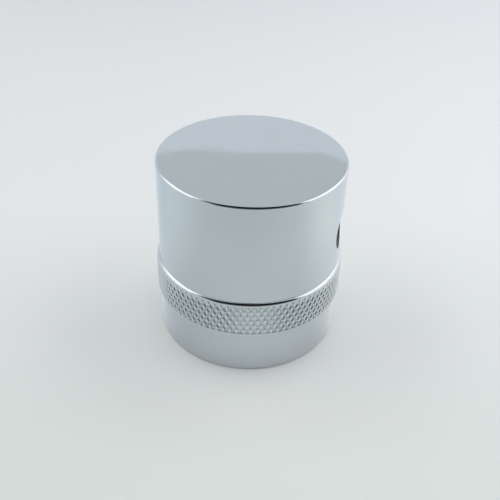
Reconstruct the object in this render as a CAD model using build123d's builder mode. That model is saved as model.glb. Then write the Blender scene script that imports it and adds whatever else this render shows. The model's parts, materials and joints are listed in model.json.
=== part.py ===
"""Shower valve handle: a knurled drum that pushes onto a splined valve stem.

Three pieces, the other two carried by the first:
  handle_body    forged and turned brass cup with a hub inside, chrome plated
  spline_insert  broached sleeve pressed into the hub, which grips the stem
  grub_screw     socket set screw in the hub, reached through the side hole

Millimetres. +Z runs up the handle's axis, the open end stands on Z = 0 and
the side hole faces +X.
"""

import os
from math import cos, pi, radians, sin, tan

from build123d import *

# ---- outside of the drum -------------------------------------------------
drum_diameter = 50.0
overall_height = 51.8
rim_chamfer = 0.45
skirt_diameter = 49.8
foot_chamfer = 0.3

# ---- knurled band --------------------------------------------------------
band_diameter = 51.2         # plain lands above and below the pattern
skirt_height = 12.6          # foot to band
shoulder_height = 0.6        # bevel at either end of the band
lower_land = 0.2
upper_land = 0.45
knurl_starts = 90            # diamonds round the band
knurl_rows = 3               # diamonds, one above the other
knurl_angle = 31.2           # lean of the grooves from the axis, in degrees
knurl_depth = 0.45           # crest to groove, half each side of the land

# ---- inside of the cup ---------------------------------------------------
sleeve_bore_diameter = 44.0  # turns over the fixed sleeve of the valve
sleeve_bore_depth = 12.0
cavity_diameter = 43.0
top_thickness = 5.0
cavity_corner = 1.5          # bevel where the wall meets the top
mouth_chamfer = 0.6

# ---- hub -----------------------------------------------------------------
hub_diameter = 19.0
hub_bottom = 14.0
hub_root = 2.0               # bevel where the hub meets the top
hub_edge_chamfer = 0.8
stem_bore_diameter = 13.6    # passes the stem's shoulder
insert_bore_diameter = 13.0
insert_bore_top = 41.0
hub_mouth_chamfer = 0.8

# ---- side hole and grub screw --------------------------------------------
side_hole_diameter = 13.0
side_hole_height = 34.3
side_hole_chamfer = 0.5
screw_diameter = 5.0
screw_length = 4.8
screw_sink = 0.2             # outer end of the screw below the hub's skin
screw_end_chamfer = 0.4
socket_across_flats = 2.5
socket_depth = 2.4
screw_passage = 0.3          # room round the screw where it passes the insert

# ---- splined insert ------------------------------------------------------
insert_length = 14.0
insert_clearance = 0.0       # the insert is pressed in and fills the bore
insert_chamfer = 0.5
spline_teeth = 20
spline_minor_diameter = 7.2
spline_depth = 0.5
spline_lead_in = 0.6

# ---- worked out from the sizes above -------------------------------------
drum_radius = drum_diameter / 2
skirt_radius = skirt_diameter / 2
land_radius = band_diameter / 2
sleeve_bore_radius = sleeve_bore_diameter / 2
cavity_radius = cavity_diameter / 2
cavity_top = overall_height - top_thickness
hub_radius = hub_diameter / 2
stem_bore_radius = stem_bore_diameter / 2
insert_bore_radius = insert_bore_diameter / 2

groove_radius = land_radius - knurl_depth / 2
crest_radius = land_radius + knurl_depth / 2
core_radius = groove_radius - knurl_depth
knurl_step = 2 * pi / knurl_starts
diamond_height = land_radius * knurl_step / tan(radians(knurl_angle))
knurl_bottom = skirt_height + shoulder_height + lower_land
knurl_top = knurl_bottom + knurl_rows * diamond_height
band_top = knurl_top + upper_land + shoulder_height

screw_outer_end = hub_radius - screw_sink
screw_inner_end = screw_outer_end - screw_length

insert_radius = insert_bore_radius - insert_clearance
insert_bottom = insert_bore_top - insert_length
spline_minor_radius = spline_minor_diameter / 2
spline_major_radius = spline_minor_radius + spline_depth


def facing_side(distance):
    """Plane across the side hole's axis, looking out along +X."""
    return Plane(origin=(distance, 0, side_hole_height), x_dir=(0, 1, 0), z_dir=(1, 0, 0))


def lattice_point(radius, turn, rise):
    """Point of the diamond pattern, turn and rise counted in diamonds."""
    angle = turn * knurl_step
    height = knurl_bottom + (rise + 0.25) * diamond_height
    return Vector(radius * cos(angle), radius * sin(angle), height)


def facet(*corners):
    """Flat face through its corners."""
    return Face(Wire.make_polygon(corners, close=True))


def diamond_flanks(turn, rise):
    """Four flanks of one diamond, cut off level where the pattern ends."""
    crest = lattice_point(crest_radius, turn, rise)
    crest_inside = 0 <= rise < knurl_rows - 0.25
    flanks = []
    for way in (-0.5, 0.5):
        tip = lattice_point(groove_radius, turn, rise + way)
        tip_inside = 0 <= rise + way < knurl_rows - 0.25
        for side_way in (-0.5, 0.5):
            side = lattice_point(groove_radius, turn + side_way, rise)
            crest_cut = (crest + tip) / 2
            side_cut = (side + tip) / 2
            if crest_inside and tip_inside:
                flanks.append(facet(crest, side, tip))
            elif crest_inside:
                flanks.append(facet(crest, side, side_cut, crest_cut))
            elif tip_inside:
                flanks.append(facet(tip, side_cut, crest_cut))
    return flanks


def pattern_end(rise, rise_beyond):
    """Flat end of the knurled disc, halfway between two rows of crests."""
    corners = []
    for half_turn in range(2 * knurl_starts):
        turn = half_turn / 2
        crest_in_row = (half_turn + round(2 * rise)) % 2 == 1
        crest_rise = rise if crest_in_row else rise_beyond
        node_rise = rise_beyond if crest_in_row else rise
        crest = lattice_point(crest_radius, turn, crest_rise)
        node = lattice_point(groove_radius, turn, node_rise)
        next_node = lattice_point(groove_radius, turn + 0.5, crest_rise)
        corners.append((crest + node) / 2)
        corners.append((node + next_node) / 2)
    return facet(*corners)


def knurled_disc():
    """Solid disc whose rim is the rolled diamond pattern."""
    faces = [pattern_end(0, -0.5), pattern_end(knurl_rows - 0.5, knurl_rows)]
    for half_row in range(-1, 2 * knurl_rows + 1):
        first_turn = 0.5 * ((half_row + 1) % 2)
        for start in range(knurl_starts):
            faces.extend(diamond_flanks(start + first_turn, half_row / 2))
    return Solid(Shell(faces))


os.makedirs("parts", exist_ok=True)

# ---- handle body ---------------------------------------------------------
rim_disc = knurled_disc()

with BuildPart() as handle_body:
    # Outside, turned about the axis; the pattern's place is left as a groove.
    with BuildSketch(Plane.YZ):
        with BuildLine():
            Polyline(
                (0, 0),
                (skirt_radius - foot_chamfer, 0),
                (skirt_radius, foot_chamfer),
                (skirt_radius, skirt_height),
                (land_radius, skirt_height + shoulder_height),
                (land_radius, knurl_bottom),
                (core_radius, knurl_bottom),
                (core_radius, knurl_top),
                (land_radius, knurl_top),
                (land_radius, band_top - shoulder_height),
                (drum_radius, band_top),
                (drum_radius, overall_height - rim_chamfer),
                (drum_radius - rim_chamfer, overall_height),
                (0, overall_height),
                close=True,
            )
        make_face()
    revolve(axis=Axis.Z)
    add(rim_disc)

    # Inside, bored round the hub, and the hub's own bore.
    with BuildSketch(Plane.YZ):
        with BuildLine():
            Polyline(
                (0, 0),
                (sleeve_bore_radius + mouth_chamfer, 0),
                (sleeve_bore_radius, mouth_chamfer),
                (sleeve_bore_radius, sleeve_bore_depth),
                (cavity_radius, sleeve_bore_depth),
                (cavity_radius, cavity_top - cavity_corner),
                (cavity_radius - cavity_corner, cavity_top),
                (hub_radius + hub_root, cavity_top),
                (hub_radius, cavity_top - hub_root),
                (hub_radius, hub_bottom + hub_edge_chamfer),
                (hub_radius - hub_edge_chamfer, hub_bottom),
                (stem_bore_radius + hub_mouth_chamfer, hub_bottom),
                (stem_bore_radius, hub_bottom + hub_mouth_chamfer),
                (stem_bore_radius, insert_bottom),
                (insert_bore_radius, insert_bottom),
                (insert_bore_radius, insert_bore_top),
                (0, insert_bore_top),
                close=True,
            )
        make_face()
    revolve(axis=Axis.Z, mode=Mode.SUBTRACT)

    # Side hole through the wall, with its broken edge.
    with Locations(facing_side(drum_radius)):
        Hole(side_hole_diameter / 2, depth=drum_radius - (cavity_radius + hub_radius) / 2)
    hole_rim = handle_body.edges(Select.LAST).sort_by(Axis.X)[-1]
    chamfer(hole_rim, side_hole_chamfer)

    # Tapped hole in the hub, on the same axis.
    with Locations(facing_side(hub_radius)):
        Hole(screw_diameter / 2, depth=hub_radius)
handle_body.part.label = "handle_body"
export_step(handle_body.part, "parts/handle_body.step")

# ---- splined insert ------------------------------------------------------
with BuildPart() as spline_insert:
    with BuildSketch(Plane.XY.offset(insert_bottom)):
        Circle(insert_radius)
        Circle(spline_minor_radius, mode=Mode.SUBTRACT)
        with PolarLocations(spline_minor_radius, spline_teeth):
            RegularPolygon(spline_depth, 4, mode=Mode.SUBTRACT)
    extrude(amount=insert_length)
    ends = spline_insert.edges().filter_by(GeomType.CIRCLE).group_by(SortBy.RADIUS)[-1]
    chamfer(ends, insert_chamfer)
    with Locations((0, 0, insert_bottom)):
        Cone(
            spline_major_radius + spline_lead_in,
            spline_major_radius,
            spline_lead_in,
            align=(Align.CENTER, Align.CENTER, Align.MIN),
            mode=Mode.SUBTRACT,
        )
    with Locations(facing_side(insert_radius)):
        Hole(screw_diameter / 2 + screw_passage, depth=insert_radius)
spline_insert.part.label = "spline_insert"
export_step(spline_insert.part, "parts/spline_insert.step")

# ---- grub screw ----------------------------------------------------------
with BuildPart() as grub_screw:
    with BuildSketch(facing_side(screw_inner_end)):
        Circle(screw_diameter / 2)
    extrude(amount=screw_length)
    chamfer(grub_screw.edges(), screw_end_chamfer)
    with BuildSketch(facing_side(screw_outer_end)):
        RegularPolygon(socket_across_flats / 2, 6, major_radius=False)
    extrude(amount=-socket_depth, mode=Mode.SUBTRACT)
grub_screw.part.label = "grub_screw"
export_step(grub_screw.part, "parts/grub_screw.step")
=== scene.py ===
"""Looks of the shower valve handle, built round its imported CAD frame.

The handle is one chromed brass cup with a knurled band. Its polished mesh, with
the rolled diamonds, the side hole, the cavity and the hub, is built here in the
frame's own place and size. Lengths are in metres; +Z is the handle's axis, the
foot stands on Z = 0 and the side hole faces +X.
"""

import json
import logging
import math
from collections.abc import Callable, Sequence
from dataclasses import dataclass, field, replace
from enum import Enum

import bpy
from mathutils import Matrix, Vector, noise


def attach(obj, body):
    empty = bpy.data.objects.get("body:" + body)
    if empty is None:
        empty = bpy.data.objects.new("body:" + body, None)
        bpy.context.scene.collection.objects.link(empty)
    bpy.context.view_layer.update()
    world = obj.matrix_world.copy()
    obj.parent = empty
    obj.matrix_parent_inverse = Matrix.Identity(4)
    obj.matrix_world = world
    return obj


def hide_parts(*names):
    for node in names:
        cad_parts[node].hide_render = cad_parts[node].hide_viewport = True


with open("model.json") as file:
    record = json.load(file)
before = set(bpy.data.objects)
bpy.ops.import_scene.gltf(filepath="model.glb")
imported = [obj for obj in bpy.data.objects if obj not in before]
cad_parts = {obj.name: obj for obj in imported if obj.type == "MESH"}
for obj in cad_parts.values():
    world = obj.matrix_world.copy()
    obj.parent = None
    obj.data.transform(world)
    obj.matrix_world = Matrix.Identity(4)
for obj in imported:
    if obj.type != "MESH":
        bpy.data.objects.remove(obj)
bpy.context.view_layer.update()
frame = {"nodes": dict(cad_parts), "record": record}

log = logging.getLogger("handle")

Ring = list[int]
Pair = tuple[float, float]
Path = tuple[tuple[float, ...], ...]
Colour = tuple[float, float, float]
Object = bpy.types.Object
Material = bpy.types.Material
Tree = bpy.types.NodeTree
Node = bpy.types.Node
Socket = bpy.types.NodeSocket
Input = Socket | float | Colour

MM = 0.001
UP = Vector((0.0, 0.0, 1.0))
WHITE: Colour = (1.0, 1.0, 1.0)
BLACK: Colour = (0.0, 0.0, 0.0)
ROOM_COLOUR: Colour = (0.925, 0.983, 1.0)

ARC_STEPS = 8
SMALL_ARC_STEPS = 3
SMALL_ROUNDING = 0.1 * MM
STRAIGHT = 1e-6
ON_AXIS = 1e-9


# ---- meshes ----------------------------------------------------------------
class Finish(Enum):
    """The finishes that the cup carries, in slot order."""

    POLISHED = 0
    KNURLED = 1
    # The side hole's wall, whose darker colour is painted shade.
    BORED = 2
    PLATED = 3


@dataclass(frozen=True)
class OutlinePoint:
    """A point of the rounded outline with the direction that its surface faces."""

    radius: float
    height: float
    face_radius: float
    face_height: float


def rounded_outline(path: Path, edge_rounding: float) -> list[OutlinePoint]:
    """Rounds an outline's corners with tangent arcs, the smallest in fewer steps.

    The outline runs with the open air on its right, so it goes up the outside
    of a wall and down the inside of a bore.

    Args:
        path: Radius and height of each corner, and its rounding where that isn't the usual
            one. The ends are kept as they are.
        edge_rounding: The usual rounding.

    Returns:
        Points in order, each with its unit normal.
    """
    places = [Vector(corner[:2]) for corner in path]
    roundings = [corner[2] if len(corner) > 2 else edge_rounding for corner in path]
    ways = [(end - start).normalized() for start, end in zip(places, places[1:])]
    points: list[OutlinePoint] = []
    for here, rounding, come, leave in zip(places, roundings, [ways[0], *ways], [*ways, ways[-1]]):
        turn = come.angle_signed(leave)
        if abs(turn) < STRAIGHT:
            points.append(OutlinePoint(here.x, here.y, come.y, -come.x))
            continue
        start = here - come * rounding * math.tan(abs(turn) / 2)
        side = 1.0 if turn > 0 else -1.0
        centre = start + Vector((come.y, -come.x)) * rounding * side
        steps = ARC_STEPS if rounding > SMALL_ROUNDING else SMALL_ARC_STEPS
        for step in range(steps + 1):
            part = -turn * step / steps
            cos_part, sin_part = math.cos(part), math.sin(part)
            way = Vector((come.x * cos_part - come.y * sin_part, come.x * sin_part + come.y * cos_part))
            face = Vector((way.y, -way.x))
            spot = centre - face * rounding * side
            points.append(OutlinePoint(spot.x, spot.y, face.x, face.y))
    return points


def across(angle: float) -> Vector:
    """The level direction at an angle from +X."""
    return Vector((math.cos(angle), math.sin(angle), 0.0))


@dataclass
class TurnedMesh:
    """Collects the rings and faces of a turned piece, with an exact normal at each point."""

    name: str
    points: list[Vector] = field(default_factory=list)
    normals: list[Vector] = field(default_factory=list)
    faces: list[tuple[int, ...]] = field(default_factory=list)
    finishes: list[Finish] = field(default_factory=list)

    def add_point(self, place: Vector, normal: Vector) -> int:
        """Adds one point.

        Args:
            place: Where it is.
            normal: The way that the surface faces there.

        Returns:
            Its number.
        """
        self.points.append(place)
        self.normals.append(normal.normalized())
        return len(self.points) - 1

    def add_face(self, corners: Sequence[int], finish: Finish) -> None:
        """Adds one face, turned to agree with its points' normals.

        Args:
            corners: Its point numbers. A number that comes again is left out.
            finish: Its finish.
        """
        unique = tuple(dict.fromkeys(corners))
        area = Vector((0.0, 0.0, 0.0))
        first = self.points[unique[0]]
        for left, right in zip(unique[1:], unique[2:]):
            area += (self.points[left] - first).cross(self.points[right] - first)
        facing = sum((self.normals[corner] for corner in unique), Vector((0.0, 0.0, 0.0)))
        self.faces.append(unique if area.dot(facing) >= 0 else unique[::-1])
        self.finishes.append(finish)

    def ring(self, point: OutlinePoint, columns: int) -> Ring:
        """Adds the ring that one outline point sweeps.

        Args:
            point: The point of the outline.
            columns: Points round the ring; one point does on the axis.

        Returns:
            The ring's point numbers, the first on the +X side.
        """
        if point.radius < ON_AXIS:
            return [self.add_point(UP * point.height, UP * point.face_height)] * columns
        numbers = []
        for column in range(columns):
            along = across(2 * math.pi * column / columns)
            numbers.append(self.add_point(along * point.radius + UP * point.height,
                                          along * point.face_radius + UP * point.face_height))
        return numbers

    def join(self, first: Ring, second: Ring, finish: Finish) -> None:
        """Joins two closed rings, whose counts are the same or a whole ratio apart.

        Args:
            first: One ring.
            second: The other ring.
            finish: Finish of the faces between them.
        """
        many, few = (first, second) if len(first) >= len(second) else (second, first)
        ratio = len(many) // len(few)
        for index in range(len(few)):
            following = (index + 1) % len(few)
            run = [many[(index * ratio + step) % len(many)] for step in range(ratio + 1)]
            self.add_face([*run, few[following], few[index]], finish)

    def sweep(self, outline: Sequence[OutlinePoint], columns: int, finish: Finish, start: Ring) -> Ring:
        """Sweeps a stretch of outline round the axis.

        Args:
            outline: The outline's points in order.
            columns: Points round each new ring.
            finish: Finish of the faces.
            start: The ring that the stretch goes on from.

        Returns:
            The last ring.
        """
        for point in outline:
            following = self.ring(point, columns)
            self.join(start, following, finish)
            start = following
        return start

    def build(self, materials: dict[Finish, Material]) -> Object:
        """Makes the Blender object.

        Args:
            materials: The material of each finish.

        Returns:
            The linked object.
        """
        mesh = bpy.data.meshes.new(self.name)
        mesh.from_pydata([tuple(point) for point in self.points], [], self.faces)
        mesh.update()
        for finish in Finish:
            mesh.materials.append(materials[finish])
        mesh.polygons.foreach_set("material_index", [finish.value for finish in self.finishes])
        mesh.polygons.foreach_set("use_smooth", [True] * len(self.faces))
        mesh.normals_split_custom_set_from_vertices([tuple(normal) for normal in self.normals])
        mesh.update()
        piece = bpy.data.objects.new(self.name, mesh)
        bpy.context.scene.collection.objects.link(piece)
        return piece


@dataclass(frozen=True)
class RoundHole:
    """A round hole that runs in along X."""

    radius: float
    height: float


@dataclass(frozen=True)
class PiercedWall:
    """A round wall with a hole on +X, remeshed in a patch round the hole.

    It faces away from the axis where outward is 1, and toward it where outward
    is -1. The patch's sides lie on the wall's own columns, and the loop round it
    has 4 * half_columns + 2 * patch_rows points.
    """

    radius: float
    outward: float
    hole: RoundHole
    finish: Finish
    rim_rounding: float
    half_height: float
    half_columns: int
    patch_rows: int
    patch_rings: int
    rim_steps: int = 6

    def side(self, mesh: TurnedMesh, low: Ring, high: Ring, column: int) -> Ring:
        """Adds one upright side of the patch.

        Args:
            mesh: The mesh that takes it.
            low: The ring at the patch's lower edge.
            high: The ring at its upper edge.
            column: The column that the side lies on.

        Returns:
            The side's point numbers, from the lower ring to the upper.
        """
        along = across(2 * math.pi * column / len(low))
        numbers = [low[column % len(low)]]
        for row in range(1, self.patch_rows):
            height = self.hole.height - self.half_height + 2 * self.half_height * row / self.patch_rows
            numbers.append(mesh.add_point(along * self.radius + UP * height, along * self.outward))
        return [*numbers, high[column % len(high)]]

    def surround(self, mesh: TurnedMesh, start: Ring, end: Ring) -> Ring:
        """Builds the wall all round the patch.

        Args:
            mesh: The mesh that takes it.
            start: The ring at the wall's lower end.
            end: The ring at its upper end.

        Returns:
            The loop round the patch.
        """
        columns, half = len(start), self.half_columns
        ends = (self.hole.height - self.half_height, self.hole.height + self.half_height)
        low, high = [mesh.ring(OutlinePoint(self.radius, height, self.outward, 0.0), columns)
                     for height in ends]
        mesh.join(start, low, self.finish)
        mesh.join(high, end, self.finish)
        right = self.side(mesh, low, high, half)
        left = self.side(mesh, low, high, -half)
        for here in range(half, columns - half):
            following = here + 1
            climb = left if following == columns - half else [low[following], high[following]]
            descend = right if here == half else [low[here], high[here]]
            mesh.add_face([low[here], *climb, *descend[:0:-1]], self.finish)
        bottom = [low[column % columns] for column in range(-half, half)]
        top = [high[column % columns] for column in range(half, -half, -1)]
        return bottom + right[:-1] + top + left[:0:-1]

    def rim(self, mesh: TurnedMesh, angles: Sequence[float], part: float) -> Ring:
        """Adds one ring of the rounded rim.

        Args:
            mesh: The mesh that takes the points.
            angles: Angle of each point about the hole's axis.
            part: 0 where the rim meets the wall, 1 where it meets the hole.

        Returns:
            The ring's point numbers.
        """
        turn = part * math.pi / 2
        reach = self.hole.radius + self.rim_rounding * (1 - math.sin(turn))
        sink = self.rim_rounding * (1 - math.cos(turn)) * self.outward
        numbers = []
        for angle in angles:
            side = reach * math.cos(angle)
            out = math.sqrt(self.radius ** 2 - side ** 2)
            wall_face = Vector((out, side, 0.0)) * (self.outward / self.radius)
            hole_face = Vector((0.0, -math.cos(angle), -math.sin(angle)))
            place = Vector((out - sink, side, self.hole.height + reach * math.sin(angle)))
            numbers.append(mesh.add_point(place, wall_face * math.cos(turn) + hole_face * math.sin(turn)))
        return numbers

    def build(self, mesh: TurnedMesh, start: Ring, end: Ring) -> Ring:
        """Builds the wall between two rings, with the hole and its rim.

        Args:
            mesh: The mesh that takes it.
            start: The ring at the wall's lower end.
            end: The ring at its upper end.

        Returns:
            The ring where the rim meets the hole's own wall.
        """
        previous = self.surround(mesh, start, end)
        half_angle = 2 * math.pi * self.half_columns / len(start)
        edge = [(math.atan2(place.y, place.x), place.z - self.hole.height)
                for place in (mesh.points[number] for number in previous)]
        angles = [math.atan2(rise / self.half_height, turn / half_angle) for turn, rise in edge]
        mouth = self.hole.radius + self.rim_rounding
        for step in range(1, self.patch_rings):
            share = step / self.patch_rings
            current = []
            for (turn, rise), angle in zip(edge, angles):
                rim_turn = math.asin(mouth * math.cos(angle) / self.radius)
                along = across(turn + (rim_turn - turn) * share)
                height = self.hole.height + rise * (1 - share) + mouth * math.sin(angle) * share
                current.append(mesh.add_point(along * self.radius + UP * height, along * self.outward))
            mesh.join(previous, current, self.finish)
            previous = current
        for step in range(self.rim_steps + 1):
            current = self.rim(mesh, angles, step / self.rim_steps)
            mesh.join(previous, current, self.finish)
            previous = current
        return previous


@dataclass(frozen=True)
class Knurl:
    """The rolled diamond pattern on the band.

    Two crossing sets of straight-sided grooves leave four-sided diamonds with
    level tops, a little above the plain lands. Turn and rise are counted in
    diamonds, from a crossing of two grooves. Toward the upper end the tops run
    down to the land and the grooves grow shallower; at the lower end the tops
    drop to the land in one step.
    """

    land_radius: float
    bottom: float
    top: float
    crest_height: float = 0.17 * MM
    depth: float = 0.33 * MM
    flank_share: float = 0.41
    unevenness: float = 0.012 * MM
    grain: float = 0.45 * MM
    starts: int = 90
    rows: int = 3
    cells: int = 16
    first_rise: float = -0.25
    run_out: float = 0.36
    end_share: float = 0.30
    end_step: float = 0.015 * MM
    slope_step: float = 0.25

    @staticmethod
    def groove_gaps(turn: float, rise: float) -> Pair:
        """How far a place is from the nearest falling groove and the nearest rising one."""
        return abs((turn + rise + 0.5) % 1 - 0.5), abs((turn - rise + 0.5) % 1 - 0.5)

    def place(self, turn: float, rise: float) -> Vector:
        """Point of the surface, which the metal's grain and the tool's wear move a little.

        Args:
            turn: How far round, in diamonds.
            rise: How far up, in diamonds.

        Returns:
            The point.
        """
        level = min(2 * min(self.groove_gaps(turn, rise)) / self.flank_share, 1.0)
        share = min(max((self.rows + self.first_rise - rise) / self.run_out, 0.0), 1.0)
        depth = self.depth * (self.end_share + (1 - self.end_share) * share * share * (3 - 2 * share))
        reach = self.land_radius + self.crest_height * share - depth * (1 - level)
        angle = 2 * math.pi * turn / self.starts
        height = self.bottom + (self.top - self.bottom) * (rise - self.first_rise) / self.rows
        even = Vector((reach * math.cos(angle), reach * math.sin(angle), height))
        reach += noise.noise(even / self.grain) * self.unevenness
        return Vector((reach * math.cos(angle), reach * math.sin(angle), height))

    def add_to(self, mesh: TurnedMesh, start: Ring, finish: Finish) -> Ring:
        """Builds the pattern on a mesh.

        Args:
            mesh: The mesh that takes it.
            start: The ring at the lower land's edge.
            finish: Finish of the faces.

        Returns:
            The pattern's upper ring.
        """
        nudge = self.slope_step / self.cells
        previous = start
        for row in range(self.rows * self.cells + 1):
            rise = row / self.cells + self.first_rise
            current = []
            for column in range(self.starts * self.cells):
                turn = column / self.cells
                level = self.place(turn + nudge, rise) - self.place(turn - nudge, rise)
                upward = self.place(turn, rise + nudge) - self.place(turn, rise - nudge)
                current.append(mesh.add_point(self.place(turn, rise), level.cross(upward)))
            if row == 0:
                mesh.join(previous, current, finish)
            else:
                self.join_rows(mesh, previous, current, row - 1, finish)
            previous = current
        return previous

    def join_rows(self, mesh: TurnedMesh, low: Ring, high: Ring, row: int, finish: Finish) -> None:
        """Joins two rows with triangles whose diagonals follow the nearer groove.

        Args:
            mesh: The mesh that takes them.
            low: The lower row.
            high: The upper row.
            row: Number of the lower row.
            finish: Finish of the faces.
        """
        columns = len(low)
        rise = (row + 0.5) / self.cells + self.first_rise
        for column in range(columns):
            following = (column + 1) % columns
            falling, rising = self.groove_gaps((column + 0.5) / self.cells, rise)
            corners = (low[column], low[following], high[following], high[column])
            for cut in ((0, 1, 3), (1, 2, 3)) if falling < rising else ((0, 1, 2), (0, 2, 3)):
                mesh.add_face([corners[index] for index in cut], finish)


# ---- what the frame says -----------------------------------------------------
def mount(name: str) -> dict:
    """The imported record's entry for one mount."""
    return next(entry for entry in frame["record"]["mounts"] if entry["name"] == name)


def mount_radius(name: str) -> float:
    """Radius of a round mount."""
    return mount(name)["dims"]["r_mm"] * MM


# ---- shared surface effects --------------------------------------------------
@dataclass(frozen=True)
class Nodes:
    """Adds nodes to one shader tree."""

    tree: Tree

    def fill(self, node: Node, values: dict[str | int, Input]) -> None:
        """Sets or links a node's inputs.

        Args:
            node: The node.
            values: For each input, by name or number, an output to link from, a number or a colour.
        """
        for label, value in values.items():
            if isinstance(value, Socket):
                self.tree.links.new(value, node.inputs[label])
            else:
                node.inputs[label].default_value = (*value, 1.0) if isinstance(value, tuple) else value

    def add(self, kind: str, values: dict[str | int, Input], **settings: str | bool | Tree) -> Node:
        """Adds a node.

        Args:
            kind: Blender's name of the node, after "ShaderNode".
            values: What fills its inputs.
            settings: Its other settings.

        Returns:
            The node.
        """
        node = self.tree.nodes.new(f"ShaderNode{kind}")
        for label, setting in settings.items():
            setattr(node, label, setting)
        self.fill(node, values)
        return node

    def shade(self, values: dict[str | int, Input]) -> None:
        """Fills inputs of the material's Principled shader."""
        self.fill(self.tree.nodes["Principled BSDF"], values)

    def math(self, operation: str, *values: Input, clamp: bool = False) -> Socket:
        """The result of a Math node."""
        return self.add("Math", dict(enumerate(values)), operation=operation, use_clamp=clamp).outputs[0]

    def product(self, left: Input, right: Input) -> Socket:
        """Two values multiplied."""
        return self.math("MULTIPLY", left, right)

    def noise(self, vector: Socket, scale: Input, detail: float, roughness: float) -> Socket:
        """The value of a Noise Texture, whose scale is its waves to one unit of the vector."""
        values = {"Vector": vector, "Scale": scale, "Detail": detail, "Roughness": roughness}
        return self.add("TexNoise", values).outputs["Fac"]

    def fade(self, value: Socket, ends: tuple[Input, Input], results: Pair = (0.0, 1.0)) -> Socket:
        """A smooth change from the first result to the second as a value goes between two ends."""
        values = dict(zip(("Value", "From Min", "From Max", "To Min", "To Max"), (value, *ends, *results)))
        return self.add("MapRange", values, interpolation_type="SMOOTHSTEP").outputs["Result"]

    def place(self) -> Socket:
        """The place on the object."""
        return self.add("TexCoord", {}).outputs["Object"]

    def axes(self) -> tuple[Socket, ...]:
        """X, Y and Z of the place on the object."""
        return tuple(self.add("SeparateXYZ", {0: self.place()}).outputs)

    def reach(self, right: Socket, away: Socket) -> Socket:
        """The distance from the Z axis at an X and a Y."""
        return self.math("SQRT", self.math("ADD", self.product(right, right), self.product(away, away)))

    def bump(self, height: Socket, distance: float, under: Socket | None = None) -> Socket:
        """The normal of a height, of which one is so many metres, over another where one is given."""
        values = {"Strength": 1.0, "Distance": distance, "Height": height}
        return self.add("Bump", values | ({"Normal": under} if under else {})).outputs["Normal"]

    def mix(self, mask: Socket, clean: Colour | Socket, marked_and_shaded: Colour) -> Socket:
        """A colour that is the first one where the mask is 0 and the second one where it is 1."""
        values = {"Factor": mask, "A": clean, "B": marked_and_shaded}
        return self.add("Mix", values, data_type="RGBA").outputs["Result"]

    def effect(self, group: Tree, output: str, **values: float) -> Socket:
        """One output of a shared effect, placed with its own values."""
        return self.add("Group", values, node_tree=group).outputs[output]


def new_group(name: str, inputs: dict[str, float], output: str) -> tuple[Nodes, dict[str, Socket], Node]:
    """Makes an empty shader node group.

    Args:
        name: The group's name.
        inputs: Names of its inputs, with their defaults.
        output: Name of its output.

    Returns:
        What adds its nodes, the sockets that give its inputs, and the node that takes its output.
    """
    group = bpy.data.node_groups.new(name, "ShaderNodeTree")
    for label, default in inputs.items():
        socket = group.interface.new_socket(label, in_out="INPUT", socket_type="NodeSocketFloat")
        socket.default_value = default
    group.interface.new_socket(output, in_out="OUTPUT", socket_type="NodeSocketFloat")
    given = group.nodes.new("NodeGroupInput").outputs
    return Nodes(group), {label: given[label] for label in inputs}, group.nodes.new("NodeGroupOutput")


def turning_lines_group() -> Tree:
    """Fine rings left by turning: a height that changes with radius and height only.

    Returns:
        The group, whose Height lies between 0 and 1.
    """
    nodes, given, result = new_group("turning_lines", {"Spacing": 0.1 * MM}, "Height")
    right, away, height = nodes.axes()
    lengths = (nodes.reach(right, away), height)
    section = nodes.add("CombineXYZ", {
        index: nodes.math("DIVIDE", length, given["Spacing"]) for index, length in enumerate(lengths)})
    nodes.fill(result, {"Height": nodes.noise(section.outputs[0], 1.0, detail=3.0, roughness=0.6)})
    return nodes.tree


def handling_haze_group() -> Tree:
    """Patches where the shine is a little duller, broken up by fine flecks.

    Returns:
        The group, whose Mask is 0 where clean and 1 where hazy.
    """
    softness, bare_edge, edge_fall = 0.12, 0.75, 0.5
    flecks_finer, fleck_ends, fleck_results = 9.0, (0.3, 0.75), (0.55, 1.0)
    nodes, given, result = new_group("handling_haze", {"Size": 12 * MM, "Coverage": 0.4}, "Mask")
    place = nodes.place()
    scale = nodes.math("DIVIDE", 1.0, given["Size"])
    patches = nodes.noise(place, scale, detail=4.0, roughness=0.55)
    flecks = nodes.noise(place, nodes.product(scale, flecks_finer), detail=3.0, roughness=0.7)
    edge = nodes.math("SUBTRACT", bare_edge, nodes.product(given["Coverage"], edge_fall))
    mask = nodes.fade(patches, (nodes.math("SUBTRACT", edge, softness), nodes.math("ADD", edge, softness)))
    grain = nodes.fade(flecks, fleck_ends, fleck_results)
    nodes.fill(result, {"Mask": nodes.math("MULTIPLY", mask, grain, clamp=True)})
    return nodes.tree


def polish_ripple_group() -> Tree:
    """The slow ripple that buffing leaves in plating.

    Returns:
        The group, whose Height is in metres.
    """
    nodes, given, result = new_group("polish_ripple", {"Length": 9 * MM, "Depth": 0.002 * MM}, "Height")
    scale = nodes.math("DIVIDE", 1.0, given["Length"])
    wave = nodes.noise(nodes.place(), scale, detail=1.0, roughness=0.4)
    nodes.fill(result, {"Height": nodes.product(nodes.math("SUBTRACT", wave, 0.5), given["Depth"])})
    return nodes.tree


@dataclass
class Effects:
    """The shared effects, built once and placed in each material."""

    turning_lines: Tree = field(default_factory=turning_lines_group)
    handling_haze: Tree = field(default_factory=handling_haze_group)
    polish_ripple: Tree = field(default_factory=polish_ripple_group)


# ---- finishes ------------------------------------------------------------------
def new_material(name: str) -> tuple[Material, Nodes]:
    """Makes a material, and what adds its nodes.

    Args:
        name: The material's name.

    Returns:
        The material and its nodes.
    """
    material = bpy.data.materials.new(name)
    material.use_nodes = True
    return material, Nodes(material.node_tree)


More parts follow.
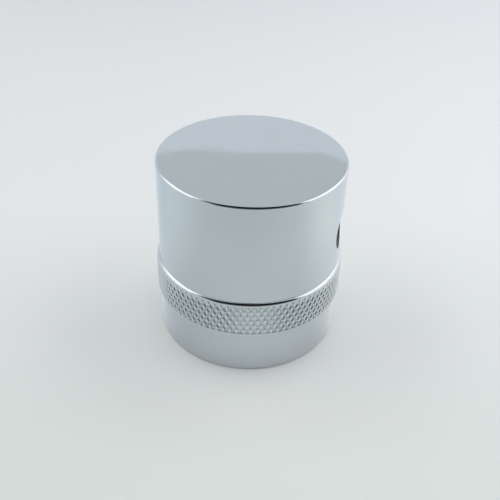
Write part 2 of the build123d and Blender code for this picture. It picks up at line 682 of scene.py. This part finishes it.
@dataclass(frozen=True)
class Metal:
    """A metal that is hazy, grimy or tarnished in patches, and on the knurl darker with painted shade in
    its grooves.

    Of the two roughnesses, the first is the clean metal's.
    """

    name: str
    clean: Colour
    marked_and_shaded: Colour
    roughnesses: Pair
    mark_size: float
    mark_coverage: float

    def marks_and_shade(self, nodes: Nodes, effects: Effects) -> Socket:
        """Where the metal carries its patches, and on the knurl its painted groove shade: 0 where clean, 1
        at the fullest.
        """
        return nodes.effect(effects.handling_haze, "Mask", Size=self.mark_size, Coverage=self.mark_coverage)

    def relief(self, nodes: Nodes, effects: Effects, marks_and_shade: Socket) -> Socket:
        """The normal of the surface, which each metal gives for itself."""
        raise NotImplementedError

    def build(self, effects: Effects) -> Material:
        """Builds the material.

        Args:
            effects: The shared effects.

        Returns:
            The material.
        """
        material, nodes = new_material(self.name)
        marks_and_shade = self.marks_and_shade(nodes, effects)
        # On the knurl this mix paints shade into the grooves; elsewhere it gives real haze, tarnish and
        # grime.
        nodes.shade({"Base Color": nodes.mix(marks_and_shade, self.clean, self.marked_and_shaded),
                     "Roughness": nodes.fade(marks_and_shade, (0.0, 1.0), self.roughnesses),
                     "Normal": self.relief(nodes, effects, marks_and_shade),
                     "Metallic": 1.0})
        return material


@dataclass(frozen=True)
class TurnedMetal(Metal):
    """A metal that carries the fine lines of its turning."""

    line_spacing: float
    line_depth: float

    def under(self, nodes: Nodes, effects: Effects) -> Socket | None:
        """The normal that the lines add to, or None."""
        return None

    def relief(self, nodes: Nodes, effects: Effects, marks_and_shade: Socket) -> Socket:
        """The normal of the lines."""
        lines = nodes.effect(effects.turning_lines, "Height", Spacing=self.line_spacing)
        return nodes.bump(lines, self.line_depth, self.under(nodes, effects))


@dataclass(frozen=True)
class PolishedChrome(TurnedMetal):
    """Bright chromium plate over buffed brass."""

    name: str = "polished_chrome"
    clean: Colour = (0.600, 0.641, 0.670)
    marked_and_shaded: Colour = (0.588, 0.626, 0.652)
    roughnesses: Pair = (0.035, 0.075)
    mark_size: float = 11 * MM
    mark_coverage: float = 0.35
    line_spacing: float = 0.16 * MM
    line_depth: float = 0.00006 * MM
    ripple_length: float = 11 * MM
    ripple_depth: float = 0.0016 * MM

    def under(self, nodes: Nodes, effects: Effects) -> Socket | None:
        """The normal of the buffed ripple."""
        size = {"Length": self.ripple_length, "Depth": self.ripple_depth}
        return nodes.bump(nodes.effect(effects.polish_ripple, "Height", **size), 1.0)


@dataclass(frozen=True)
class KnurledChrome(TurnedMetal):
    """Chromium plate over rolled diamonds: duller than the polish, with painted shade in the grooves."""

    name: str = "knurled_chrome"
    clean: Colour = (0.610, 0.650, 0.675)
    # The darker colour is painted shade in the grooves.
    marked_and_shaded: Colour = (0.590, 0.628, 0.650)
    roughnesses: Pair = (0.225, 0.30)
    mark_size: float = 3 * MM
    mark_coverage: float = 0.8
    line_spacing: float = 0.12 * MM
    line_depth: float = 0.0012 * MM
    # Radii over which the painted shade deepens toward the groove bottoms, and its thinnest share in
    # patches.
    groove_shade_reach: Pair = (25.62 * MM, 25.47 * MM)
    thinnest_groove_shade: float = 0.55

    def marks_and_shade(self, nodes: Nodes, effects: Effects) -> Socket:
        """Painted shade, which lies in the grooves and is thinner in patches.

        Args:
            nodes: What adds the material's nodes.
            effects: The shared effects.

        Returns:
            The mask.
        """
        right, away, _ = nodes.axes()
        # Painted shade: darker toward the groove bottoms, where the recess hides light.
        grooves = nodes.fade(nodes.reach(right, away), self.groove_shade_reach)
        patches = nodes.fade(super().marks_and_shade(nodes, effects), (0.0, 1.0), (self.thinnest_groove_shade, 1.0))
        return nodes.product(grooves, patches)


@dataclass(frozen=True)
class PlatedBore(TurnedMetal):
    """Thin, unbuffed plate on a turned bore, where brass shows through."""

    name: str = "plated_bore"
    clean: Colour = (0.50, 0.50, 0.48)
    marked_and_shaded: Colour = (0.46, 0.41, 0.30)
    roughnesses: Pair = (0.26, 0.44)
    mark_size: float = 7 * MM
    mark_coverage: float = 0.7
    line_spacing: float = 0.22 * MM
    line_depth: float = 0.004 * MM


@dataclass(frozen=True)
class BareBrass(TurnedMetal):
    """Broached brass, tarnished in patches."""

    name: str = "bare_brass"
    clean: Colour = (0.78, 0.60, 0.32)
    marked_and_shaded: Colour = (0.44, 0.30, 0.15)
    roughnesses: Pair = (0.24, 0.46)
    mark_size: float = 4 * MM
    mark_coverage: float = 0.8
    line_spacing: float = 0.15 * MM
    line_depth: float = 0.004 * MM


@dataclass(frozen=True)
class ScrewSteel(Metal):
    """Plain stainless steel with a little grime."""

    name: str = "screw_steel"
    clean: Colour = (0.52, 0.52, 0.53)
    marked_and_shaded: Colour = (0.20, 0.19, 0.18)
    roughnesses: Pair = (0.22, 0.5)
    mark_size: float = 1.6 * MM
    mark_coverage: float = 0.6
    grime_height: float = 0.004 * MM

    def relief(self, nodes: Nodes, effects: Effects, marks_and_shade: Socket) -> Socket:
        """The normal of the grime, which stands a little above the steel."""
        return nodes.bump(marks_and_shade, self.grime_height)


# ---- pieces --------------------------------------------------------------------
@dataclass(frozen=True)
class HandleBody:
    """The one-piece cup: drum, band, skirt, cavity and hub.

    Its outline is swept in stretches, which end a few seams' lengths at most
    from a corner. The bore is the one that the insert is pressed into.
    """

    drum_radius: float = 25.0 * MM
    top_height: float = 51.8 * MM
    rim_rounding: float = 0.62 * MM
    skirt_radius: float = 24.9 * MM
    skirt_top: float = 12.6 * MM
    foot_chamfer: float = 0.3 * MM
    band_radius: float = 25.6 * MM
    band_bottom: float = 13.2 * MM
    band_top: float = 23.294 * MM
    band_shoulder: float = 0.21 * MM
    band_rounding: float = 0.85 * MM
    cavity_radius: float = 21.5 * MM
    cavity_top: float = 46.8 * MM
    cavity_corner: float = 1.5 * MM
    sleeve_bore_top: float = 12.0 * MM
    mouth_chamfer: float = 0.6 * MM
    hub_radius: float = 9.5 * MM
    hub_bottom: float = 14.0 * MM
    hub_chamfer: float = 0.8 * MM
    hub_root: float = 2.0 * MM
    bore_radius: float = 6.5 * MM
    bore_bottom: float = 27.0 * MM
    bore_top: float = 41.0 * MM
    edge_rounding: float = 0.06 * MM
    seam: float = 1 * MM
    outside_columns: int = 288
    inside_columns: int = 144
    knurl: Knurl = Knurl(land_radius=25.6 * MM, bottom=13.4 * MM, top=22.244 * MM)
    side_hole: RoundHole = RoundHole(mount_radius("side_hole"), mount("side_hole")["pos_m"][2])
    screw_hole: RoundHole = RoundHole(radius=2.5 * MM, height=mount("side_hole")["pos_m"][2])

    def inside(self) -> tuple[Path, ...]:
        """The stretches of the inside, from the end of the insert's bore to the middle of the foot.

        Returns:
            The bore's closed end; down the stem bore, round the hub's end and up its
            outside; across the cavity's ceiling; and down the cavity's wall and the
            sleeve bore.
        """
        stem, sleeve = mount_radius("stem_bore"), mount_radius("sleeve_bore")
        bore, hub, cavity = self.bore_radius, self.hub_radius, self.cavity_radius
        root, corner = self.cavity_top - self.hub_root, self.cavity_top - self.cavity_corner
        return (
            ((0.0, self.bore_top), (bore, self.bore_top), (bore, self.bore_top - self.seam)),
            ((bore, self.bore_bottom + self.seam),
             (bore, self.bore_bottom),
             (stem, self.bore_bottom),
             (stem, self.hub_bottom + self.hub_chamfer),
             (stem + self.hub_chamfer, self.hub_bottom),
             (hub - self.hub_chamfer, self.hub_bottom),
             (hub, self.hub_bottom + self.hub_chamfer),
             (hub, self.hub_bottom + 3 * self.seam)),
            ((hub, root - self.seam),
             (hub, root),
             (hub + self.hub_root, self.cavity_top),
             (cavity - self.cavity_corner, self.cavity_top),
             (cavity, corner),
             (cavity, corner - 0.5 * self.seam)),
            ((cavity, self.sleeve_bore_top + self.seam),
             (cavity, self.sleeve_bore_top),
             (sleeve, self.sleeve_bore_top),
             (sleeve, self.mouth_chamfer),
             (sleeve + self.mouth_chamfer, 0.0),
             (sleeve + self.seam, 0.0)))

    def outside(self) -> tuple[Path, ...]:
        """The stretches of the outside, from the middle of the foot to the middle of the top.

        Returns:
            Up the skirt to the band's lower land; from its upper land over the
            shoulder; over the drum's rim; and the rest of the top.
        """
        drum, skirt, band = self.drum_radius, self.skirt_radius, self.band_radius
        return (
            ((skirt - 1.4 * self.seam, 0.0),
             (skirt - self.foot_chamfer, 0.0),
             (skirt, self.foot_chamfer),
             (skirt, self.skirt_top),
             (band, self.band_bottom),
             (band, self.knurl.bottom - self.knurl.end_step)),
            ((band, self.knurl.top + self.knurl.end_step),
             (band, self.band_top - self.band_shoulder, self.band_rounding),
             (drum, self.band_top),
             (drum, self.band_top + self.seam)),
            ((drum, self.top_height - 2 * self.seam),
             (drum, self.top_height, self.rim_rounding),
             (drum - 2 * self.seam, self.top_height)),
            ((drum - 4 * self.seam, self.top_height), (0.0, self.top_height)))

    def stretch(self, mesh: TurnedMesh, path: Path, columns: int, finish: Finish) -> tuple[Ring, Ring]:
        """Sweeps one stretch of the outline.

        Args:
            mesh: The mesh that takes it.
            path: The stretch's corners, as rounded_outline takes them.
            columns: Points round each ring.
            finish: Finish of the faces.

        Returns:
            The stretch's first and last rings.
        """
        outline = rounded_outline(path, self.edge_rounding)
        first = mesh.ring(outline[0], columns)
        return first, mesh.sweep(outline[1:], columns, finish, first)

    def build(self, materials: dict[Finish, Material]) -> Object:
        """Builds the cup in its place and dresses it.

        Args:
            materials: The material of each finish.

        Returns:
            The cup.
        """
        mesh = TurnedMesh("handle_cup")
        (_, bore_high), (bore_low, hub_low), (hub_high, cavity_high), (cavity_low, foot_inside) = [
            self.stretch(mesh, path, self.inside_columns, Finish.PLATED) for path in self.inside()]
        skirt, shoulder, rim, top = self.outside()
        foot_outside, lower_land = self.stretch(mesh, skirt, self.outside_columns, Finish.POLISHED)
        pattern_top = self.knurl.add_to(mesh, lower_land, Finish.KNURLED)
        upper_land, drum_low = self.stretch(mesh, shoulder, self.outside_columns, Finish.POLISHED)
        drum_high, top_edge = self.stretch(mesh, rim, self.outside_columns, Finish.POLISHED)
        top_middle, _ = self.stretch(mesh, top, self.inside_columns, Finish.POLISHED)
        for low, high in ((foot_inside, foot_outside), (pattern_top, upper_land), (top_edge, top_middle)):
            mesh.join(low, high, Finish.POLISHED)

        drum = PiercedWall(self.drum_radius, 1.0, self.side_hole, Finish.POLISHED, rim_rounding=0.3 * MM,
                           half_height=9 * MM, half_columns=16, patch_rows=16, patch_rings=6)
        cavity = PiercedWall(self.cavity_radius, -1.0, self.side_hole, Finish.PLATED, rim_rounding=0.1 * MM,
                             half_height=9 * MM, half_columns=8, patch_rows=8, patch_rings=4)
        hub = PiercedWall(self.hub_radius, 1.0, self.screw_hole, Finish.PLATED, rim_rounding=0.12 * MM,
                          half_height=4 * MM, half_columns=12, patch_rows=8, patch_rings=4)
        bore = replace(hub, radius=self.bore_radius, outward=-1.0, rim_rounding=0.05 * MM)
        # The side hole's wall takes the darker plating, whose colour is painted shade.
        mesh.join(drum.build(mesh, drum_low, drum_high), cavity.build(mesh, cavity_low, cavity_high),
                  Finish.BORED)
        mesh.join(hub.build(mesh, hub_low, hub_high), bore.build(mesh, bore_low, bore_high), Finish.PLATED)
        return mesh.build(materials)


@dataclass(frozen=True)
class FramePart:
    """A part that keeps the mesh of its frame node and only takes a finish."""

    node: str
    slot: str

    def dress(self, material: Material) -> Object:
        """Gives the node its material.

        Args:
            material: The finish.

        Returns:
            The node's object.
        """
        part = frame["nodes"][self.node]
        if part.material_slots:
            part.material_slots[0].material = material
        else:
            part.data.materials.append(material)
        return part


# ---- studio --------------------------------------------------------------------
@dataclass(frozen=True)
class Heading:
    """Right, away and up as the camera sees them, for a camera at an azimuth."""

    azimuth: float

    @property
    def turn(self) -> Matrix:
        """The turn from right, away and up to the frame."""
        return Matrix.Rotation(math.radians(self.azimuth), 4, "Z")

    def place(self, right: float, away: float, height: float) -> Vector:
        """A place so far right of the axis, away from the camera and above the floor."""
        return self.turn @ Vector((right, away, height))

    def grid(self, name: str, points: Sequence[Vector], rows: int, material: Material) -> Object:
        """Makes a sheet of the studio from a grid of points.

        Args:
            name: The object's name.
            points: Right, away and up of each point, up each column in turn.
            rows: Faces up each column.
            material: Its material.

        Returns:
            The object.
        """
        step = rows + 1
        starts = [start + row for start in range(0, len(points) - step, step) for row in range(rows)]
        faces = [(start, start + step, start + step + 1, start + 1) for start in starts]
        mesh = bpy.data.meshes.new(name)
        mesh.from_pydata([tuple(point) for point in points], [], faces)
        mesh.update()
        mesh.materials.append(material)
        piece = bpy.data.objects.new(name, mesh)
        piece.matrix_world = self.turn
        bpy.context.scene.collection.objects.link(piece)
        return piece


@dataclass(frozen=True)
class Softbox:
    """A flat rectangular soft light that faces the handle and isn't mirrored by it."""

    name: str
    right: float
    away: float
    radiance: float
    height: float = 0.42
    width: float = 0.7
    tall: float = 0.6
    aim_height: float = 30 * MM

    def build(self, heading: Heading) -> Object:
        """Builds the light.

        Args:
            heading: The camera's heading.

        Returns:
            The light.
        """
        light = bpy.data.lights.new(self.name, "AREA")
        light.shape = "RECTANGLE"
        light.size, light.size_y = self.width, self.tall
        light.energy = self.radiance * math.pi * self.width * self.tall
        lamp = bpy.data.objects.new(self.name, light)
        lamp.location = heading.place(self.right, self.away, self.height)
        lamp.rotation_mode = "QUATERNION"
        lamp.rotation_quaternion = (UP * self.aim_height - lamp.location).to_track_quat("-Z", "Y")
        lamp.visible_glossy = False
        bpy.context.scene.collection.objects.link(lamp)
        return lamp


@dataclass(frozen=True)
class MirrorPatch:
    """A patch of the surroundings that only the chrome mirrors.

    It lies between two bearings, counted in degrees to the right from the
    camera's side. Its section gives the distance from the axis and the height at
    a bearing and at a share of the way across the patch.
    """

    name: str
    bearings: Pair
    section: Callable[[float, float], Pair]
    columns: int
    rows: int

    @classmethod
    def sky(cls, name: str, bearings: Pair, reach: float, low: float,
            high: Callable[[float], float]) -> "MirrorPatch":
        """A patch of a sphere round the handle's foot.

        Args:
            name: The patch's name.
            bearings: The bearings that it lies between.
            reach: Radius of the sphere.
            low: Elevation of its lower edge, in degrees.
            high: Elevation of its upper edge at a bearing, in degrees.

        Returns:
            The patch.
        """

        def section(bearing: float, share: float) -> Pair:
            """Distance and height at a bearing and a share of the way up."""
            rise = math.radians(low + (high(bearing) - low) * share)
            return reach * math.cos(rise), reach * math.sin(rise)

        return cls(name, bearings, section, columns=32, rows=16)

    @classmethod
    def table(cls, name: str, bearings: Pair, reaches: Pair, height: float) -> "MirrorPatch":
        """A patch that lies a little above the table.

        Args:
            name: The patch's name.
            bearings: The bearings that it lies between.
            reaches: Its nearest and farthest distances from the axis.
            height: How far above the floor it lies.

        Returns:
            The patch.
        """
        near, far = reaches
        return cls(name, bearings, lambda _, share: (near + (far - near) * share, height),
                   columns=24, rows=1)

    def build(self, heading: Heading, material: Material) -> Object:
        """Builds the patch.

        Args:
            heading: The camera's heading.
            material: What it looks like.

        Returns:
            The patch.
        """
        first, last = self.bearings
        points = []
        for column in range(self.columns + 1):
            bearing = first + (last - first) * column / self.columns
            side = math.radians(bearing)
            for row in range(self.rows + 1):
                reach, height = self.section(bearing, row / self.rows)
                points.append(Vector((reach * math.sin(side), -reach * math.cos(side), height)))
        patch = heading.grid(self.name, points, self.rows, material)
        patch.visible_camera = False
        patch.visible_diffuse = False
        patch.visible_shadow = False
        return patch


def glowing(name: str, colour: Colour, strength: float) -> tuple[Material, Nodes]:
    """Makes a material that only glows.

    Args:
        name: The material's name.
        colour: Its colour.
        strength: Its brightness, where 1 is white.

    Returns:
        The material and its nodes.
    """
    material, nodes = new_material(name)
    nodes.shade({"Base Color": BLACK, "Specular IOR Level": 0.0, "Emission Color": colour,
                 "Emission Strength": strength})
    return material, nodes


@dataclass(frozen=True)
class Table:
    """The table top, just under the handle's foot, whose colour carries painted light that falls off in
    front and behind.
    """

    # Painted light: the top's colour falls off in front and behind.
    colours: tuple[tuple[float, Colour], ...] = (
        (-0.12, (0.585, 0.600, 0.582)), (-0.09, (0.610, 0.626, 0.607)), (-0.055, (0.655, 0.672, 0.652)),
        (-0.02, (0.690, 0.694, 0.688)), (0.05, (0.690, 0.694, 0.696)), (0.30, (0.632, 0.631, 0.645)))
    # Painted light: lighter toward the right, under the brighter softbox.
    right_light_reach: float = 0.18
    right_light_change: float = 0.04
    # Painted light near the foot, which thins the handle's shadow there.
    painted_foot_light_reaches: Pair = (0.050, 0.026)
    painted_foot_light_change: float = 0.07
    roughness: float = 0.9
    half_size: float = 3.0
    drop: float = 0.02 * MM

    def finish(self) -> Material:
        """The matt, pale top, with painted light: a little lighter toward the right and at the handle's
        foot, where it thins the handle's shadow.

        Returns:
            The material.
        """
        material, nodes = new_material("table")
        right, away, _ = nodes.axes()
        nearest, farthest = self.colours[0][0], self.colours[-1][0]
        share = nodes.math("DIVIDE", nodes.math("SUBTRACT", away, nearest), farthest - nearest, clamp=True)
        ramp = nodes.add("ValToRGB", {0: share})
        stops = ramp.color_ramp.elements
        for index, (place, colour) in enumerate(self.colours):
            stop = stops[index] if index < len(stops) else stops.new(1.0)
            stop.position = (place - nearest) / (farthest - nearest)
            stop.color = (*colour, 1.0)
        # Painted light: lighter toward the right.
        sides = nodes.fade(right, (-self.right_light_reach, self.right_light_reach),
                           (1 - self.right_light_change, 1 + self.right_light_change))
        # Painted light: lighter at the foot.
        foot = nodes.fade(nodes.reach(right, away), self.painted_foot_light_reaches, (1.0, 1 + self.painted_foot_light_change))
        shade = nodes.add("VectorMath", {0: ramp.outputs[0], "Scale": nodes.product(sides, foot)},
                          operation="SCALE")
        nodes.shade({"Base Color": shade.outputs[0], "Roughness": self.roughness,
                     "Specular IOR Level": 0.0})
        return material

    def build(self, heading: Heading) -> Object:
        """Builds the table.

        Args:
            heading: The camera's heading.

        Returns:
            The table.
        """
        ends = (-self.half_size, self.half_size)
        points = [Vector((right, away, -self.drop)) for right in ends for away in ends]
        return heading.grid("table", points, 1, self.finish())


@dataclass(frozen=True)
class Backdrop:
    """The pale cloth behind the table, whose upper edge sags a little."""

    colour: Colour = (0.891, 0.936, 1.0)
    strength: float = 0.902
    away: float = 0.62
    edge: tuple[Pair, ...] = (
        (-2.0, 0.46), (-0.14, 0.392), (-0.104, 0.382), (-0.089, 0.3788), (-0.074, 0.3774),
        (-0.045, 0.3783), (-0.008, 0.3796), (0.030, 0.3780), (0.075, 0.3762), (0.085, 0.3766),
        (0.096, 0.3795), (0.111, 0.386), (0.14, 0.396), (2.0, 0.46))

    def build(self, heading: Heading) -> Object:
        """Builds the cloth in the camera's heading."""
        points = [Vector((right, self.away, height)) for right, top in self.edge for height in (0.0, top)]
        return heading.grid("backdrop", points, 1, glowing("backdrop", self.colour, self.strength)[0])


@dataclass(frozen=True)
class SideLight:
    """What the chrome mirrors at one side: a soft light and the table under it.

    Turn is 1 at the right and -1 at the left. The table has one colour beside
    the handle and another behind it. Angles are in degrees.
    """

    side: str
    turn: int
    back: float
    beside: Colour
    behind: Colour
    radiances: Pair = (2.1, 1.2)
    back_fade: float = 0.16
    lower_edge: Pair = (0.0, 0.07)
    upper_edge: Pair = (0.46, 0.36)
    middle_from: Pair = (0.06, 0.13)
    middle_to: Pair = (0.34, 0.25)
    reach: float = 0.55
    bearings: Pair = (58.0, 142.0)
    elevations: Pair = (0.5, 56.0)
    table_bearings: Pair = (40.0, 155.0)
    table_reaches: Pair = (0.025, 0.5)
    table_height: float = 0.2 * MM
    foot_fade: Pair = (0.048, 0.085)
    foot_light: float = 0.52
    front_fade: Pair = (45.0, 95.0)
    rear_fade: Pair = (150.0, 120.0)
    colour_fade: Pair = (95.0, 120.0)

    def glow(self) -> Material:
        """The soft light: brighter toward its lower and upper edges, and faded out there and at the back.

        Returns:
            The material.
        """
        material, nodes = glowing(f"{self.side}_glow", WHITE, 1.0)
        _, away, height = nodes.axes()
        upright = nodes.product(nodes.fade(height, self.lower_edge), nodes.fade(height, self.upper_edge))
        from_behind = nodes.fade(away, (self.back, self.back - self.back_fade))
        middle = nodes.product(nodes.fade(height, self.middle_from), nodes.fade(height, self.middle_to))
        nodes.shade({"Emission Strength": nodes.fade(middle, (0.0, 1.0), self.radiances),
                     "Alpha": nodes.product(upright, from_behind)})
        return material

    def lit_table(self) -> Material:
        """The table under the light, which fades in beyond the foot and toward the side.

        Returns:
            The material.
        """
        material, nodes = glowing(f"{self.side}_table", self.beside, 1.0)
        right, away, _ = nodes.axes()
        outward = nodes.fade(nodes.reach(right, away), self.foot_fade, (self.foot_light, 1.0))
        bearing = nodes.math("ARCTAN2", nodes.math("ABSOLUTE", right), nodes.product(away, -1.0))
        from_front, from_behind, farther = [
            nodes.fade(bearing, (math.radians(start), math.radians(end)))
            for start, end in (self.front_fade, self.rear_fade, self.colour_fade)]
        nodes.shade({"Alpha": nodes.product(outward, nodes.product(from_front, from_behind)),
                     "Emission Color": nodes.mix(farther, self.beside, self.behind)})
        return material

    def build(self, heading: Heading) -> None:
        """Builds the light and its table.

        Args:
            heading: The camera's heading.
        """
        bearings, table_bearings = [(self.turn * first, self.turn * last)
                                    for first, last in (self.bearings, self.table_bearings)]
        low, high = self.elevations
        MirrorPatch.sky(f"{self.side}_glow", bearings, self.reach, low, lambda _: high).build(
            heading, self.glow())
        MirrorPatch.table(f"{self.side}_table", table_bearings, self.table_reaches,
                          self.table_height).build(heading, self.lit_table())


@dataclass(frozen=True)
class DarkRoom:
    """The unlit room that the chrome mirrors in front, from beyond the lit table to overhead.

    It is darker higher up, and brightens toward its sides, toward the zenith
    itself and toward the lit table. Angles are in degrees.
    """

    low_colour: Colour = (0.100, 0.110, 0.120)
    overhead_colour: Colour = (0.012, 0.013, 0.014)
    overhead_heights: Pair = (0.10, 0.24)
    lit_share: float = 0.70
    zenith_heights: Pair = (0.470, 0.499)
    zenith_share: float = 0.38
    side_heights: Pair = (0.05, 0.30)
    half_angles: Pair = (52.0, 64.0)
    middles: Pair = (0.30, 0.06)
    side_fade: Pair = (0.7, 1.0)
    reach: float = 0.5
    elevations: Pair = (30.0, 91.0)
    table_from: float = 0.11
    table_fade: float = 0.07
    table_height: float = 0.1 * MM
    table_heights: Pair = (2 * MM, 1 * MM)

    def finish(self) -> Material:
        """The unlit room's colours.

        Returns:
            The material.
        """
        material, nodes = glowing("dark_room", self.low_colour, 1.0)
        right, away, height = nodes.axes()
        middle = nodes.fade(height, self.side_heights, self.middles)
        slope = nodes.math("ADD", nodes.math("DIVIDE", right, away), middle)
        low_edge, high_edge = (math.tan(math.radians(angle)) for angle in self.half_angles)
        edge = nodes.fade(height, self.side_heights, (low_edge, high_edge))
        sideways = nodes.fade(nodes.math("DIVIDE", nodes.math("ABSOLUTE", slope), edge), self.side_fade)
        flat = nodes.fade(height, self.table_heights)
        near = nodes.fade(nodes.reach(right, away), (self.table_from + self.table_fade, self.table_from))
        above = nodes.fade(height, self.zenith_heights, (0.0, self.zenith_share))
        lit = nodes.math("MAXIMUM", nodes.math("MAXIMUM", sideways, above), nodes.product(flat, near))
        shade = nodes.mix(nodes.fade(height, self.overhead_heights), self.low_colour, self.overhead_colour)
        red, green, blue = (channel * self.lit_share for channel in ROOM_COLOUR)
        nodes.shade({"Emission Color": nodes.mix(lit, shade, (red, green, blue))})
        return material

    def top(self, bearing: float) -> float:
        """How high the room reaches at a bearing, in degrees.

        Args:
            bearing: The bearing.

        Returns:
            The elevation of its upper edge.
        """
        share = min(abs(bearing) / self.half_angles[1], 1.0)
        side, middle = self.elevations
        return side + (middle - side) * math.sqrt(1 - share ** 2)

    def build(self, heading: Heading) -> None:
        """Builds the room and its table.

        Args:
            heading: The camera's heading.
        """
        material = self.finish()
        bearings = (-self.half_angles[1], self.half_angles[1])
        MirrorPatch.sky("dark_room", bearings, self.reach, 0.0, self.top).build(heading, material)
        MirrorPatch.table("dark_table", bearings, (self.table_from, self.reach),
                          self.table_height).build(heading, material)


@dataclass(frozen=True)
class Studio:
    """The pale table, the backdrop, the soft lights and the dark room in front."""

    heading: Heading
    sets: tuple[Table | Backdrop | DarkRoom | SideLight, ...] = (
        Table(),
        Backdrop(),
        DarkRoom(),
        SideLight("left", turn=-1, back=0.33, beside=(0.76, 0.835, 0.855), behind=(0.69, 0.78, 0.85)),
        SideLight("right", turn=1, back=0.48, beside=(0.93, 0.98, 0.95), behind=(0.84, 0.90, 0.97)),
    )
    lights: tuple[Softbox, ...] = (
        Softbox("left_softbox", right=-0.5, away=0.10, radiance=1.12),
        Softbox("right_softbox", right=0.5, away=0.14, radiance=1.26),
        Softbox("top_softbox", right=0.1, away=0.15, radiance=0.55, height=0.9, width=0.8, tall=0.8),
    )
    room_strength: float = 0.71

    def surroundings(self) -> bpy.types.World:
        """The even light of the rest of the room.

        Returns:
            The world that gives it.
        """
        world = bpy.data.worlds.new("room")
        world.use_nodes = True
        background = world.node_tree.nodes["Background"]
        background.inputs["Color"].default_value = (*ROOM_COLOUR, 1.0)
        background.inputs["Strength"].default_value = self.room_strength
        bpy.context.scene.world = world
        return world

    def build(self) -> None:
        """Builds the whole studio round the handle."""
        self.surroundings()
        for thing in (*self.sets, *self.lights):
            thing.build(self.heading)


@dataclass(frozen=True)
class StudioCamera:
    """A camera that looks down at the handle from in front."""

    heading: Heading
    elevation: float = 34.72
    distance: float = 0.1995
    roll: float = 1.82
    lens: float = 51.56
    sensor: float = 36.0
    shift: Pair = (0.0009, -0.0234)
    clip: Pair = (0.01, 10.0)
    aim_height: float = 25.9 * MM

    def build(self) -> Object:
        """Builds the camera and makes it the scene's.

        Returns:
            The camera.
        """
        data = bpy.data.cameras.new("studio_camera")
        data.lens = self.lens
        data.sensor_width = self.sensor
        data.shift_x, data.shift_y = self.shift
        data.clip_start, data.clip_end = self.clip
        camera = bpy.data.objects.new("studio_camera", data)
        rise = math.radians(self.elevation)
        camera.location = self.heading.place(
            0.0, -self.distance * math.cos(rise), self.aim_height + self.distance * math.sin(rise))
        level = (UP * self.aim_height - camera.location).to_track_quat("-Z", "Y").to_matrix().to_4x4()
        camera.rotation_mode = "QUATERNION"
        camera.rotation_quaternion = (
            level @ Matrix.Rotation(math.radians(self.roll), 4, "Z")).to_quaternion()
        bpy.context.scene.collection.objects.link(camera)
        bpy.context.scene.camera = camera
        return camera


def main() -> None:
    """Builds the handle, its studio and its camera in order."""
    logging.basicConfig(level=logging.INFO, format="%(name)s: %(message)s")
    bpy.context.scene.view_settings.view_transform = "Standard"
    effects = Effects()

    cup = HandleBody().build({
        Finish.POLISHED: PolishedChrome().build(effects),
        Finish.KNURLED: KnurledChrome().build(effects),
        # The side hole's wall: thin, unbuffed plate, with painted shade in its darker colour.
        Finish.BORED: PlatedBore("shaded_side_hole_wall", clean=(0.27, 0.29, 0.30),
                                 marked_and_shaded=(0.26, 0.27, 0.24)).build(effects),
        Finish.PLATED: PlatedBore().build(effects),
    })
    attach(cup, "root")
    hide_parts("handle_body")
    log.info("handle cup: %d faces", len(cup.data.polygons))

    insert = FramePart("spline_insert", "bare_brass").dress(BareBrass().build(effects))
    log.info("spline insert: %d faces", len(insert.data.polygons))
    screw = FramePart("grub_screw", "screw_steel").dress(ScrewSteel().build(effects))
    log.info("grub screw: %d faces", len(screw.data.polygons))

    studio = Studio(Heading(azimuth=9.8))
    studio.build()
    log.info("studio: table, backdrop, dark room and %d softboxes", len(studio.lights))
    camera = StudioCamera(studio.heading).build()
    log.info("camera: %.1f mm lens", camera.data.lens)


if __name__ == "__main__":
    main()
